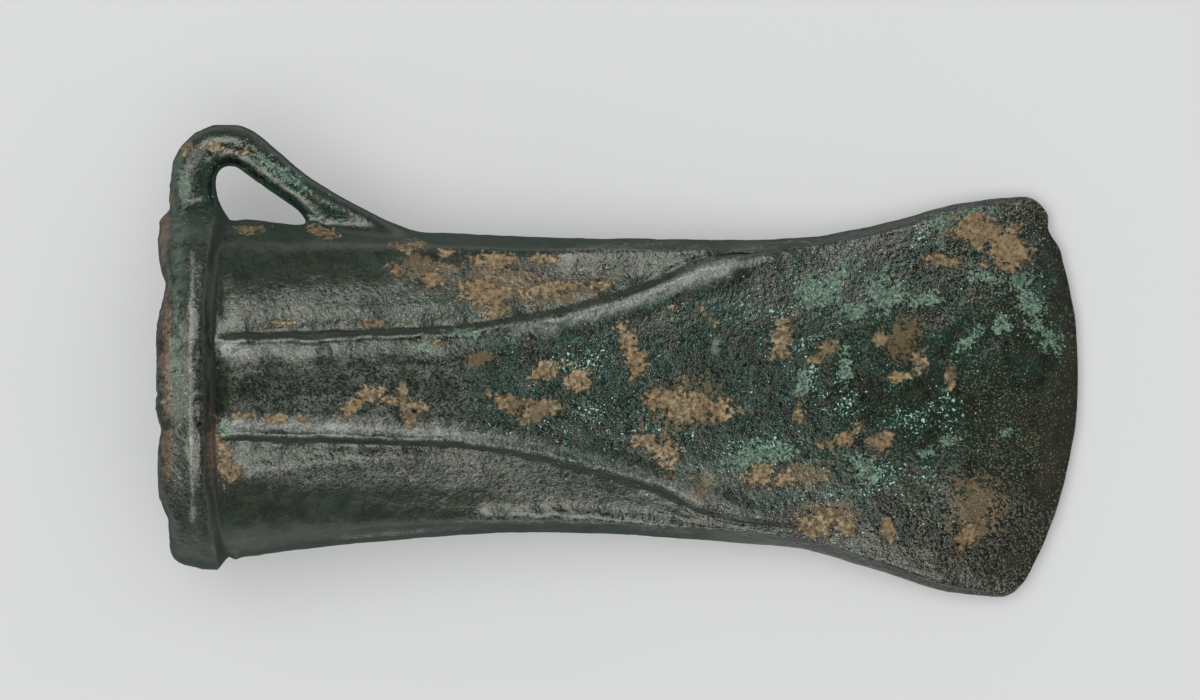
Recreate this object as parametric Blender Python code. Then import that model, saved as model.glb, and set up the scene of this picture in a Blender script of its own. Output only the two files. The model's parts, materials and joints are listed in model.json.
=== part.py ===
"""A socketed axe head of cast bronze with a side loop, made as one casting.

The axe's own axis runs along +X from the socket's mouth to the cutting edge. +Y is the loop's
side and +Z the upper cheek. The surface is one sleeve of rings: it starts at the socket's floor,
comes out of the mouth, turns over the rim and runs on to the cutting edge. The loop grows out of
two openings in that sleeve. The finished axe lies on its lower cheek. Sizes are in metres.
"""

import math

import bmesh
import bpy
import numpy as np

MM = 0.001

# Length and widths, seen from above
LENGTH = 125.0 * MM
BODY_WIDTH = 46.6 * MM
WAIST_WIDTH = 40.2 * MM
BLADE_WIDTH = 54.9 * MM
WAIST_SHIFT = 0.5 * MM
BLADE_SHIFT = -1.2 * MM

# Thickness, seen from the side
BODY_DEPTH = 32.6 * MM
CHEEK_DEPTH = 13.2 * MM
BEVEL_DEPTH = 4.0 * MM
EDGE_DEPTH = 0.7 * MM

# Cutting edge
EDGE_RADIUS = 59.5 * MM
EDGE_MIDDLE = 2.0 * MM
EDGE_BEVEL = 4.5 * MM
CORNER_RADIUS = 2.6 * MM

# Side facets, from the seam in the middle plane to the shoulder
MOUTH_SIDE_DEPTH = 17.5 * MM
CHEEK_SIDE_DEPTH = 6.4 * MM
BEVEL_SIDE_DEPTH = 1.8 * MM
MOUTH_FACET = 4.5 * MM
CHEEK_FACET = 1.6 * MM
BLADE_FACET = 0.8 * MM

# How full the section is at mouth and waist, as powers: the side's rounding and the cheek's crown
MOUTH_SIDE_POWER = 2.0
WAIST_SIDE_POWER = 1.2
MOUTH_CROWN_POWER = 2.3
WAIST_CROWN_POWER = 2.8
WAIST_FROM = 0.4 * LENGTH

# Collar round the mouth
COLLAR_LENGTH = 7.8 * MM
COLLAR_RISE = 1.8 * MM
COLLAR_SIDE_SHARE = 0.6
RIM_SWEEP = 1.7 * MM
RIM_ROUND = 0.7 * MM

# Socket
SOCKET_DEPTH = 80.0 * MM
WALL = 4.0 * MM
SOCKET_TIP_WIDTH = 24.0 * MM
SOCKET_TIP_DEPTH = 6.4 * MM
SOCKET_SIDE_SHARE = 0.6
SOCKET_TIP_CROWN_POWER = 3.5

# Wing ribs on both cheeks, steep towards the wings and gentle towards the channel between them
RIB_GAP = 12.6 * MM
RIB_WING_WIDTH = 0.9 * MM
RIB_CHANNEL_WIDTH = 2.8 * MM
RIB_MARGIN = 1.44 * MM
RIB_RISE = 0.9 * MM
WING_DISH = 0.7 * MM
CHANNEL_HOLLOW = 0.5 * MM

# Loop
LOOP_STAND = 5.6 * MM
LOOP_BEND_RADIUS = 4.8 * MM
LOOP_AT = 4.5 * MM
LOOP_SLOPE = math.radians(37)
LOOP_BASE_WIDTH = 6.8 * MM
LOOP_ARM_WIDTH = 4.6 * MM
LOOP_BASE_DEPTH = 6.05 * MM
LOOP_DEPTH = 5.4 * MM
LOOP_FOOT_FROM = 20.4 * MM
LOOP_FOOT_TO = 33.5 * MM
LOOP_CLEARANCE = 0.6 * MM
LOOP_START_SHARE = 0.55
LOOP_ARM_SHARE = 0.8

# Where the rings begin to bend towards the curved cutting edge
EDGE_BEND_FROM = 0.66 * LENGTH

# Old damage: place across the axe, half width and depth of each bite
RIM_BITES = (
    (15.0 * MM, 3.6 * MM, 1.5 * MM),
    (-6.5 * MM, 2.6 * MM, 0.6 * MM),
    (-19.0 * MM, 2.4 * MM, 0.8 * MM),
)
EDGE_BITES = ((21.4 * MM, 1.9 * MM, 0.8 * MM),)

# How far the resting places are worn flat
REST_WEAR = 0.35 * MM

# Grid: steps from the seam to the middle of a cheek, and rows along the axe
SIDE_STEPS, WING_STEPS, CHANNEL_STEPS = 3, 4, 4
PATCH_STEPS = 4
HOLE_STEPS = 4
BODY_STEPS = 21
SOCKET_STEPS = 6
ARM_STEPS = 5
BEND_STEPS = 8


def curve(*knots):
    """A smooth function through the knots (place, value) that turns only where they do."""
    places, values = np.array(knots, float).T
    steps = np.diff(places)
    slopes = np.diff(values) / steps
    tangents = np.zeros(len(places))
    tangents[0], tangents[-1] = slopes[0], slopes[-1]
    for i in range(1, len(slopes)):
        before, after = slopes[i - 1], slopes[i]
        if before * after > 0:
            tangents[i] = 2 * before * after / (before + after)

    def value_at(place):
        place = min(max(place, places[0]), places[-1])
        i = min(max(int(np.searchsorted(places, place)) - 1, 0), len(steps) - 1)
        t = (place - places[i]) / steps[i]
        rise = values[i + 1] - values[i]
        start = t * (1 - t) ** 2 * steps[i] * tangents[i]
        end = t * t * (t - 1) * steps[i] * tangents[i + 1]
        return values[i] + t * t * (3 - 2 * t) * rise + start + end

    return value_at


def mix(a, b, share):
    return a + (b - a) * share


BLADE_FLARE = (BLADE_WIDTH - WAIST_WIDTH) / 2
HALF_WIDTH = curve(
    (0.08 * LENGTH, BODY_WIDTH / 2),
    (0.26 * LENGTH, mix(WAIST_WIDTH, BODY_WIDTH, 0.31) / 2),
    (0.43 * LENGTH, WAIST_WIDTH / 2),
    (0.68 * LENGTH, WAIST_WIDTH / 2 + 0.11 * BLADE_FLARE),
    (0.78 * LENGTH, WAIST_WIDTH / 2 + 0.45 * BLADE_FLARE),
    (0.88 * LENGTH, WAIST_WIDTH / 2 + 0.89 * BLADE_FLARE),
    (0.95 * LENGTH, BLADE_WIDTH / 2),
)
MIDDLE = curve(
    (0.0, 0.4 * WAIST_SHIFT),
    (0.37 * LENGTH, WAIST_SHIFT),
    (0.68 * LENGTH, 0.55 * BLADE_SHIFT),
    (0.80 * LENGTH, BLADE_SHIFT),
    (LENGTH, BLADE_SHIFT),
)
BEVEL_FROM = LENGTH - EDGE_BEVEL
HALF_DEPTH = curve(
    (COLLAR_LENGTH, BODY_DEPTH / 2),
    (0.68 * LENGTH, CHEEK_DEPTH / 2),
    (0.85 * LENGTH, mix(BEVEL_DEPTH, CHEEK_DEPTH, 0.47) / 2),
    (BEVEL_FROM, BEVEL_DEPTH / 2),
    (LENGTH, EDGE_DEPTH / 2),
)
SIDE_DEPTH = curve(
    (COLLAR_LENGTH, MOUTH_SIDE_DEPTH / 2),
    (0.68 * LENGTH, CHEEK_SIDE_DEPTH / 2),
    (BEVEL_FROM, BEVEL_SIDE_DEPTH / 2),
    (LENGTH, 0.8 * EDGE_DEPTH / 2),
)
FACET = curve(
    (COLLAR_LENGTH, MOUTH_FACET),
    (0.37 * LENGTH, mix(CHEEK_FACET, MOUTH_FACET, 0.15)),
    (0.68 * LENGTH, CHEEK_FACET),
    (BEVEL_FROM, BLADE_FACET),
    (LENGTH, 0.4 * BLADE_FACET),
)
RIB_AT = curve(
    (COLLAR_LENGTH, RIB_GAP / 2),
    (0.32 * LENGTH, 1.18 * RIB_GAP / 2),
    (0.40 * LENGTH, 1.40 * RIB_GAP / 2),
    (0.50 * LENGTH, 1.90 * RIB_GAP / 2),
    (0.60 * LENGTH, mix(1.9 * RIB_GAP, WAIST_WIDTH, 0.55) / 2),
    (0.69 * LENGTH, 0.93 * WAIST_WIDTH / 2),
    (0.80 * LENGTH, 0.90 * WAIST_WIDTH / 2),
    (LENGTH, 0.85 * WAIST_WIDTH / 2),
)
RIB_SHARE = curve(
    (COLLAR_LENGTH, 0.0),
    (1.3 * COLLAR_LENGTH, 1.0),
    (0.58 * LENGTH, 0.9),
    (0.71 * LENGTH, 0.0),
)
DISH_SHARE = curve(
    (COLLAR_LENGTH, 0.2),
    (0.2 * LENGTH, 0.5),
    (0.45 * LENGTH, 1.0),
    (0.68 * LENGTH, 0.0),
)
HOLLOW_SHARE = curve(
    (COLLAR_LENGTH, 0.4),
    (0.15 * LENGTH, 1.0),
    (0.4 * LENGTH, 0.6),
    (0.62 * LENGTH, 0.0),
)
SWELL = curve(
    (0.0, 0.25 * COLLAR_RISE),
    (0.38 * COLLAR_LENGTH, 0.75 * COLLAR_RISE),
    (0.62 * COLLAR_LENGTH, COLLAR_RISE),
    (0.80 * COLLAR_LENGTH, 0.95 * COLLAR_RISE),
    (COLLAR_LENGTH, -0.06 * COLLAR_RISE),
    (1.25 * COLLAR_LENGTH, 0.0),
)


def half_section(side, size, rib, rise, dish, hollow):
    """Points (y, z) from the seam on one side to just before the middle of the upper cheek."""
    middle, width, depth, side_depth, facet, side_power, crown_power = size
    shoulder = width - facet
    points = []
    for step in range(SIDE_STEPS + 1):
        share = step / SIDE_STEPS
        points.append((middle + side * (width - facet * share**side_power), side_depth * share))

    def cheek(y):
        across = min(abs(y - middle) / shoulder, 1.0)
        return side_depth + (depth - side_depth) * (1 - across**crown_power)

    outer_foot = side * (rib + RIB_WING_WIDTH)
    inner_foot = side * max(rib - RIB_CHANNEL_WIDTH, 0.2 * rib)
    for step in range(1, WING_STEPS):
        share = step / WING_STEPS
        y = mix(middle + side * shoulder, outer_foot, share)
        points.append((y, cheek(y) - dish * math.sin(math.pi * share)))
    points.append((outer_foot, cheek(outer_foot)))
    points.append((side * rib, cheek(side * rib) + rise))
    for step in range(CHANNEL_STEPS):
        share = step / CHANNEL_STEPS
        y = inner_foot * (1 - share)
        points.append((y, cheek(y) - hollow * math.sin(math.pi / 2 * share)))
    return points


def section(size, rib, rise=0.0, dish=0.0, hollow=0.0):
    """One ring round the axe, from the seam on the loop's side over the upper cheek and back."""
    near = half_section(1, size, rib, rise, dish, hollow)
    far = half_section(-1, size, rib, rise, dish, hollow)
    top = [(0.0, size[2] - hollow)]
    upper = near + top + far[::-1]
    lower = [(y, -z) for y, z in upper[1:-1]]
    return np.array(upper + lower[::-1])


def bites_at(y, bites):
    """How deep the old damage goes at this place across the axe."""
    return sum(depth * math.exp(-(((y - at) / width) ** 2) * 2) for at, width, depth in bites)


def collar_sweep(row, y, half_width):
    """The rim and the collar's crease bow towards the blade at the sides."""
    across = min(abs(y) / half_width, 1.0) ** 4
    on_loop_side = min(row / COLLAR_LENGTH, 1.0) if y > 0 else 1.0
    fade = min(max(1 - (row - COLLAR_LENGTH) / COLLAR_LENGTH, 0.0), 1.0)
    return RIM_SWEEP * across * on_loop_side * fade


def edge_drop(y):
    """How far the curved cutting edge lies behind its foremost point."""
    away = min(abs(y - EDGE_MIDDLE) / EDGE_RADIUS, 0.98)
    return EDGE_RADIUS * (1 - math.sqrt(1 - away * away))


def outer_ring(row):
    """The ring at this row of the outside, its points moved along the axe by the sweep."""
    width, middle = HALF_WIDTH(row), MIDDLE(row)
    bend = max(row - EDGE_BEND_FROM, 0.0) / (LENGTH - EDGE_BEND_FROM)
    bend = bend * bend * (3 - 2 * bend)
    for _ in range(8):
        place = row - bend * edge_drop(middle - width)
        width = HALF_WIDTH(mix(place, row, 0.3))
    from_edge = LENGTH - row
    if from_edge < CORNER_RADIUS:
        width -= CORNER_RADIUS - math.sqrt(CORNER_RADIUS**2 - (CORNER_RADIUS - from_edge) ** 2)
    swell = SWELL(row)
    waist_share = min(row / WAIST_FROM, 1.0)
    size = (
        middle,
        width + swell,
        HALF_DEPTH(row) + swell,
        SIDE_DEPTH(row) + COLLAR_SIDE_SHARE * swell,
        FACET(row),
        mix(MOUTH_SIDE_POWER, WAIST_SIDE_POWER, waist_share),
        mix(MOUTH_CROWN_POWER, WAIST_CROWN_POWER, waist_share),
    )
    rib = min(RIB_AT(row), width - FACET(row) - RIB_MARGIN)
    ring = section(
        size,
        rib,
        RIB_RISE * RIB_SHARE(row),
        WING_DISH * DISH_SHARE(row),
        CHANNEL_HOLLOW * HOLLOW_SHARE(row),
    )
    points = []
    for y, z in ring:
        x = row + collar_sweep(row, y, width) - bend * edge_drop(y)
        x += max(1 - row / COLLAR_LENGTH * 1.6, 0.0) * bites_at(y, RIM_BITES)
        x -= max(1 - from_edge / EDGE_BEVEL, 0.0) * bites_at(y, EDGE_BITES)
        if y > middle and COLLAR_LENGTH <= row < LOOP_FOOT_FROM:
            y -= LOOP_CLEARANCE * ((y - middle) / width) ** 4
        points.append((x, y, z))
    return np.array(points)


def inner_ring(row, grow=0.0):
    """The ring of the tapering socket at this depth, or one that much larger."""
    share = row / SOCKET_DEPTH
    width = mix(BODY_WIDTH / 2 - WALL, SOCKET_TIP_WIDTH / 2, share) + grow
    depth = mix(BODY_DEPTH / 2 - WALL, SOCKET_TIP_DEPTH / 2, share) + grow
    crown = mix(MOUTH_CROWN_POWER, SOCKET_TIP_CROWN_POWER, share)
    size = (MIDDLE(row), width, depth, SOCKET_SIDE_SHARE * depth, 0.2 * width, MOUTH_SIDE_POWER, crown)
    ring = section(size, RIB_AT(0) * width / (BODY_WIDTH / 2))
    fade = max(1 - row / COLLAR_LENGTH, 0.0)
    points = []
    for y, z in ring:
        x = row + fade * collar_sweep(0, y, width)
        x += fade * bites_at(y * BODY_WIDTH / 2 / width, RIM_BITES)
        points.append((x, y, z))
    return np.array(points)


def rim_face_ring():
    """The outer border of the flat face of the rim, inside the rounded lip."""
    lip = outer_ring(0.0)
    inside = inner_ring(0.0)
    ring = mix(lip, inside, RIM_ROUND / (WALL + SWELL(0)))
    ring[:, 0] = lip[:, 0]
    return ring


def row_places():
    """Rows of the outside along the axe, and the rows where the loop's two openings start."""
    collar = [share * COLLAR_LENGTH for share in (0.15, 0.38, 0.60, 0.80, 1.0)]
    hole = np.linspace(COLLAR_LENGTH, LOOP_FOOT_FROM, HOLE_STEPS + 1)[1:-1]
    foot = np.linspace(LOOP_FOOT_FROM, LOOP_FOOT_TO, PATCH_STEPS + 1)
    body = np.linspace(LOOP_FOOT_TO, BEVEL_FROM, BODY_STEPS + 1)[1:-1]
    edge = [LENGTH - share * EDGE_BEVEL for share in (1.0, 0.68, 0.42, 0.22, 0.08, 0.0)]
    before = len(collar) + len(hole)
    return [*collar, *hole, *foot, *body, *edge], 0, before


def loop_rings(seam):
    """Rings round the loop's rod: up from the collar, round the bend and down to its foot."""
    turn = math.pi / 2 + LOOP_SLOPE
    centre = (LOOP_AT + LOOP_BEND_RADIUS, seam + LOOP_STAND)
    run = (centre[1] + LOOP_BEND_RADIUS * math.cos(LOOP_SLOPE) - seam) / math.sin(LOOP_SLOPE)
    stations = [(LOOP_AT, seam + LOOP_START_SHARE * LOOP_STAND, math.pi / 2, 0.0)]
    for step in range(BEND_STEPS + 1):
        heading = math.pi / 2 - turn * step / BEND_STEPS
        x = centre[0] - LOOP_BEND_RADIUS * math.sin(heading)
        y = centre[1] + LOOP_BEND_RADIUS * math.cos(heading)
        stations.append((x, y, heading, 0.5 * step / BEND_STEPS))
    x, y, heading, _ = stations[-1]
    for step in range(1, ARM_STEPS):
        along = LOOP_ARM_SHARE * run * step / ARM_STEPS
        place = (x + along * math.cos(heading), y + along * math.sin(heading))
        stations.append((*place, heading, 0.5 + 0.5 * step / ARM_STEPS))
    rings = []
    for x, y, heading, share in stations:
        half_width = mix(LOOP_BASE_WIDTH, LOOP_ARM_WIDTH, min(1.3 * share, 1.0)) / 2
        half_depth = mix(LOOP_BASE_DEPTH, LOOP_DEPTH, min(2 * share, 1.0)) / 2
        inner = (math.sin(heading), -math.cos(heading))
        ring = []
        sides = 2 * PATCH_STEPS + 4
        for side in range(sides):
            angle = 2 * math.pi * side / sides
            reach = half_width * math.cos(angle)
            rise = half_depth * math.sin(angle)
            ring.append((x + inner[0] * reach, y + inner[1] * reach, rise))
        rings.append(np.array(ring))
    return rings


def opening(first_ring, start, around, from_mouth):
    """Border of an opening in the sleeve, as point numbers, from the side of the loop's hole."""
    rows = [(first_ring + start + step) * around for step in range(PATCH_STEPS + 1)]
    rows = rows if from_mouth else rows[::-1]
    above = [row + 1 for row in rows]
    below = [row + around - 1 for row in rows]
    return [rows[0], *above, rows[-1], *below[::-1]]


def axe_mesh():
    """Points and faces of the whole casting, about the axe's own axis."""
    rows, collar_start, foot_start = row_places()
    sleeve = [inner_ring(row) for row in np.linspace(SOCKET_DEPTH, RIM_ROUND, SOCKET_STEPS + 1)]
    sleeve += [inner_ring(0.0, 0.5 * RIM_ROUND), rim_face_ring()]
    first_outer = len(sleeve)
    sleeve += [outer_ring(row) for row in rows]
    around = len(sleeve[0])
    patch_rows = set()
    for start in (collar_start, foot_start):
        patch_rows |= set(range(first_outer + start, first_outer + start + PATCH_STEPS))
    faces = []
    for ring in range(len(sleeve) - 1):
        for k in range(around):
            if ring in patch_rows and k in (0, around - 1):
                continue
            after = (k + 1) % around
            here, there = ring * around, (ring + 1) * around
            faces.append((here + k, here + after, there + after, there + k))
    for base in (0, (len(sleeve) - 1) * around):
        for k in range(around // 2):
            corners = [base + k, base + k + 1, base + around - k - 1, base + (around - k) % around]
            faces.append(tuple(dict.fromkeys(corners)))
    points = np.concatenate(sleeve)
    seam = points[(first_outer + foot_start - 2) * around][1]
    rod = loop_rings(seam)
    first_rod = len(points)
    sides = len(rod[0])
    borders = [opening(first_outer, collar_start, around, False)]
    borders += [list(range(first_rod + i * sides, first_rod + (i + 1) * sides)) for i in range(len(rod))]
    borders += [opening(first_outer, foot_start, around, True)]
    for near, far in zip(borders, borders[1:]):
        for k in range(sides):
            after = (k + 1) % sides
            faces.append((near[k], near[after], far[after], far[k]))
    return np.concatenate([points, *rod]), faces


def turned(points, lean):
    """The points with the axe's axis dipping towards the blade by this angle."""
    x, y, z = points.T
    down, along = math.sin(lean), math.cos(lean)
    return np.stack([x * along + z * down, y, z * along - x * down], 1)


def resting_lean(points):
    """The angle at which collar and blade end touch the ground together."""
    low, high = 0.0, math.radians(30)
    behind = points[:, 0] < WAIST_FROM
    for _ in range(40):
        lean = (low + high) / 2
        heights = turned(points, lean)[:, 2]
        if heights[behind].min() < heights[~behind].min():
            low = lean
        else:
            high = lean
    return lean


def laid_down(points):
    """The points as the axe lies, worn flat where it rests, and the angle of its axis."""
    lean = resting_lean(points)
    lying = turned(points, lean)
    lying[:, 2] -= lying[:, 2].min() + REST_WEAR
    lying[:, 2] = np.maximum(lying[:, 2], 0.0)
    for axis in (0, 1):
        lying[:, axis] -= (lying[:, axis].min() + lying[:, axis].max()) / 2
    return lying, lean


def bronze():
    material = bpy.data.materials.new("patinated_bronze")
    material.use_nodes = True
    shader = material.node_tree.nodes["Principled BSDF"]
    shader.inputs["Base Color"].default_value = (0.045, 0.055, 0.042, 1)
    shader.inputs["Metallic"].default_value = 0.35
    shader.inputs["Roughness"].default_value = 0.45
    return material


def main():
    for old in list(bpy.data.objects):
        bpy.data.objects.remove(old)
    points, faces = axe_mesh()
    lying, _ = laid_down(points)
    mesh = bpy.data.meshes.new("axe_head")
    mesh.from_pydata([tuple(point) for point in lying], [], faces)
    form = bmesh.new()
    form.from_mesh(mesh)
    loose = [vertex for vertex in form.verts if not vertex.link_faces]
    bmesh.ops.delete(form, geom=loose, context="VERTS")
    bmesh.ops.recalc_face_normals(form, faces=form.faces)
    form.to_mesh(mesh)
    form.free()
    mesh.shade_smooth()
    mesh.set_sharp_from_angle(angle=math.radians(38))
    mesh.materials.append(bronze())
    axe = bpy.data.objects.new("axe_head", mesh)
    bpy.context.scene.collection.objects.link(axe)


main()
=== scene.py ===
"""Looks of the socketed axe head: fine relief, patina, soil, floor, light and camera."""

import json
import math

import bmesh
import bpy
import numpy as np
from mathutils import Matrix, Vector, noise


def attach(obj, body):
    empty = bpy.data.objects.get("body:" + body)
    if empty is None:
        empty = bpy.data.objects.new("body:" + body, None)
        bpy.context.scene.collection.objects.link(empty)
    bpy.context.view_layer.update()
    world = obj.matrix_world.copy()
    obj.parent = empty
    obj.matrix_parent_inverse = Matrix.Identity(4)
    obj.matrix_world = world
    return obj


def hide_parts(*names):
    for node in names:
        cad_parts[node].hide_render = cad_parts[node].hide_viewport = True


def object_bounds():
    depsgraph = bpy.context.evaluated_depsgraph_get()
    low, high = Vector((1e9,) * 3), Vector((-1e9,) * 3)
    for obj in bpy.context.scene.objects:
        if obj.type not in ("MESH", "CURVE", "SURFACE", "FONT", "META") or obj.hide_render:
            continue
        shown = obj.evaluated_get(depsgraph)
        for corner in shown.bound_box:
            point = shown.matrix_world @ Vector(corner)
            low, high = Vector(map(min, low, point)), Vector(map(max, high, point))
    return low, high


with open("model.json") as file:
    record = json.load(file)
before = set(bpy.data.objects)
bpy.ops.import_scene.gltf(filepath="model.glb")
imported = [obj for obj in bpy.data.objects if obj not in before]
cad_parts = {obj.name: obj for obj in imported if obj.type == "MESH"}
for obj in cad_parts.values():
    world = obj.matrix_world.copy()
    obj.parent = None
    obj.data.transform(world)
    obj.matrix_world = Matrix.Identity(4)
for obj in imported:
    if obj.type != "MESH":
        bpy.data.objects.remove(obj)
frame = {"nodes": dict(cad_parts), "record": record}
CAD_LOW, CAD_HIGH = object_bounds()

MM = 0.001
NODE = "axe_head"

# The axe's own frame: s along its axis from the mouth, y across towards the loop, z off the middle
SOCKET_DEPTH = 80.0
MOUNTS = {mount["name"]: mount for mount in frame["record"]["mounts"]}
FLOOR_AT = np.array(MOUNTS["socket_floor"]["pos_m"])
ALONG = -np.array(MOUNTS["socket_floor"]["axis"])
ACROSS = np.array((0.0, 1.0, 0.0))
CHEEK_UP = np.cross(ALONG, ACROSS)

# The blade's patina begins and is complete at these distances from the mouth
BLADE_FROM = 84.0
BLADE_FULL = 112.0


def curve(*knots):
    """A smooth function of an array through the knots (place, value), turning only where they do."""
    places, values = np.array(knots, float).T
    steps = np.diff(places)
    slopes = np.diff(values) / steps
    tangents = np.zeros(len(places))
    tangents[0], tangents[-1] = slopes[0], slopes[-1]
    for i in range(1, len(slopes)):
        before, after = slopes[i - 1], slopes[i]
        if before * after > 0:
            tangents[i] = 2 * before * after / (before + after)

    def value_at(place):
        place = np.clip(place, places[0], places[-1])
        i = np.clip(np.searchsorted(places, place) - 1, 0, len(steps) - 1)
        t = (place - places[i]) / steps[i]
        start = t * (1 - t) ** 2 * steps[i] * tangents[i]
        end = t * t * (t - 1) * steps[i] * tangents[i + 1]
        return values[i] + t * t * (3 - 2 * t) * (values[i + 1] - values[i]) + start + end

    return value_at


RIB_LINE = curve((7.8, 6.3), (40.0, 7.43), (50.0, 8.82), (62.5, 11.97), (75.0, 16.45), (86.0, 18.7))
# How strongly the strip beside each rib shows, raised in relief and with painted highlight: on the
# loop's side, and on the other side
LOOP_SIDE_BAND = curve(
    (9.0, 0.9), (18.0, 0.6), (30.0, 0.45), (42.0, 0.4), (54.0, 1.0), (74.0, 1.0), (88.0, 0.0)
)
FAR_SIDE_BAND = curve((9.0, 0.8), (40.0, 0.9), (56.0, 0.6), (70.0, 0.7), (82.0, 0.1))
BAND_WIDTH = curve((9.0, 2.4), (20.0, 1.5), (36.0, 1.2), (58.0, 1.5), (72.0, 1.9), (86.0, 0.7))
BAND_OUTER_WIDTH = 0.55
BAND_IN_FROM_RIB = 0.8


def smooth_step(value, low, high):
    t = np.clip((value - low) / (high - low), 0.0, 1.0)
    return t * t * (3 - 2 * t)


def window(value, low, full, fall, end):
    """Zero below low and past end, one from full to fall."""
    return smooth_step(value, low, full) * (1 - smooth_step(value, fall, end))


def bell(away, half_width):
    """One at zero, falling off smoothly on both sides."""
    return np.exp(-((away / half_width) ** 2))


def own_places(world):
    """Own coordinates in millimetres of points in the world."""
    away = world - FLOOR_AT
    return np.stack([SOCKET_DEPTH + away @ ALONG / MM, away @ ACROSS / MM, away @ CHEEK_UP / MM], 1)


def world_place(s, y, z):
    return Vector(FLOOR_AT + ((s - SOCKET_DEPTH) * ALONG + y * ACROSS + z * CHEEK_UP) * MM)


# Form: the CAD solid's own points, joined to quads and smoothed

CREASE_FROM = math.radians(28)
CREASE_FULL = math.radians(60)
SMOOTH_LEVELS = 2
FITTING_ROUNDS = 4
FARTHEST_SHARE = 0.3
LONGEST_EDGE = 0.62 * MM
WELD_WITHIN = 0.01 * MM
JOIN_ANGLE = math.radians(50)
JOIN_SHAPE = math.radians(70)
LEADING_CREASE = 0.9
FITTING_PACE = 0.9
ALONG_SHARE = 0.8
ROOT_ROUNDS = 14
ROOT_PACE = 0.6
RIB_HALF_WIDTH = 2.2
LONG_DRIFT = 0.55
SHORT_DRIFT = 0.24


def quads_of(node):
    """The node's mesh with its doubled points welded and its triangles joined to quads."""
    form = bmesh.new()
    form.from_mesh(node.data)
    bmesh.ops.remove_doubles(form, verts=form.verts, dist=WELD_WITHIN)
    bmesh.ops.join_triangles(
        form, faces=form.faces, angle_face_threshold=JOIN_ANGLE, angle_shape_threshold=JOIN_SHAPE
    )
    bmesh.ops.recalc_face_normals(form, faces=form.faces)
    crease = form.edges.layers.float.new("crease_edge")
    for edge in form.edges:
        if len(edge.link_faces) == 2:
            angle = edge.calc_face_angle(0.0)
            share = (angle - CREASE_FROM) / (CREASE_FULL - CREASE_FROM)
            edge[crease] = LEADING_CREASE * min(max(share, 0.0), 1.0)
    mesh = bpy.data.meshes.new("axe_quads")
    form.to_mesh(mesh)
    form.free()
    return mesh


def points_of(mesh):
    flat = np.empty(len(mesh.vertices) * 3)
    mesh.vertices.foreach_get("co", flat)
    return flat.reshape(-1, 3)


def move_points(mesh, points):
    mesh.vertices.foreach_set("co", points.ravel())
    mesh.update()


def edge_ends(mesh):
    ends = np.empty(len(mesh.edges) * 2, dtype=np.int64)
    mesh.edges.foreach_get("vertices", ends)
    return ends.reshape(-1, 2)


def shortest_edges(mesh, points):
    """The length of the shortest edge at each point."""
    ends = edge_ends(mesh)
    lengths = np.linalg.norm(points[ends[:, 1]] - points[ends[:, 0]], axis=1)
    shortest = np.full(len(points), 1.0)
    for side in (0, 1):
        np.minimum.at(shortest, ends[:, side], lengths)
    return shortest


def smoothed_mesh(mesh):
    """The mesh subdivided so that the smooth surface goes through the solid's own points."""
    helper = bpy.data.objects.new("smoothing_helper", mesh)
    bpy.context.scene.collection.objects.link(helper)
    smoothing = helper.modifiers.new("smooth", "SUBSURF")
    smoothing.levels = smoothing.render_levels = SMOOTH_LEVELS
    target = points_of(mesh)
    cage = target.copy()
    farthest = FARTHEST_SHARE * shortest_edges(mesh, target)[:, None]
    for _ in range(FITTING_ROUNDS):
        bpy.context.view_layer.update()
        depsgraph = bpy.context.evaluated_depsgraph_get()
        reached = points_of(helper.evaluated_get(depsgraph).data)[: len(target)]
        cage += FITTING_PACE * (target - reached)
        away = cage - target
        length = np.maximum(np.linalg.norm(away, axis=1, keepdims=True), 1e-9)
        cage = target + away * np.minimum(farthest / length, 1.0)
        move_points(mesh, cage)
        helper.update_tag()
    bpy.context.view_layer.update()
    depsgraph = bpy.context.evaluated_depsgraph_get()
    made = bpy.data.meshes.new_from_object(helper.evaluated_get(depsgraph))
    bpy.data.objects.remove(helper)
    return made


def split_long_edges(mesh):
    """Cuts the edges that run along the axe in two where they are longer than the relief needs."""
    form = bmesh.new()
    form.from_mesh(mesh)
    along = Vector(ALONG)
    longest = [
        edge
        for edge in form.edges
        if edge.calc_length() > LONGEST_EDGE
        and abs((edge.verts[1].co - edge.verts[0].co).dot(along)) > ALONG_SHARE * edge.calc_length()
    ]
    bmesh.ops.subdivide_edges(form, edges=longest, cuts=1, use_grid_fill=True)
    form.to_mesh(mesh)
    form.free()


def blended_roots(mesh, points):
    """The points with the loop's two roots rounded into the casting."""
    s, y, _ = own_places(points).T
    foot = window(s, 16.0, 19.0, 33.0, 37.0) * smooth_step(y, 18.5, 20.5)
    base = window(s, -1.0, 0.5, 8.5, 10.5) * window(y, 22.0, 24.0, 28.0, 31.0)
    share = ROOT_PACE * np.maximum(foot, base)[:, None]
    ends = edge_ends(mesh)
    count = np.bincount(ends.ravel(), minlength=len(points))[:, None]
    for _ in range(ROOT_ROUNDS):
        total = np.zeros_like(points)
        np.add.at(total, ends[:, 0], points[ends[:, 1]])
        np.add.at(total, ends[:, 1], points[ends[:, 0]])
        points = points + share * (total / count - points)
    return points


def wandering_ribs(points):
    """The points with the two ribs a little crooked, as they were cut in the mould."""
    own = own_places(points)
    s, y, z = own.T
    near = bell(np.abs(y) - RIB_LINE(s), RIB_HALF_WIDTH)
    near *= window(s, 9.0, 14.0, 78.0, 86.0) * smooth_step(np.abs(z), 1.0, 3.0)
    sides = np.stack([s, np.sign(y) * 8.0, np.sign(z) * 5.0], 1)
    drift = LONG_DRIFT * noise_at(sides, 8.0, 7, 2) + SHORT_DRIFT * noise_at(sides, 2.8, 8, 2)
    return points + (near * drift)[:, None] * ACROSS * MM


# Painted highlights: the collar's crest, and a strip beside each rib that is also raised in relief

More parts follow.
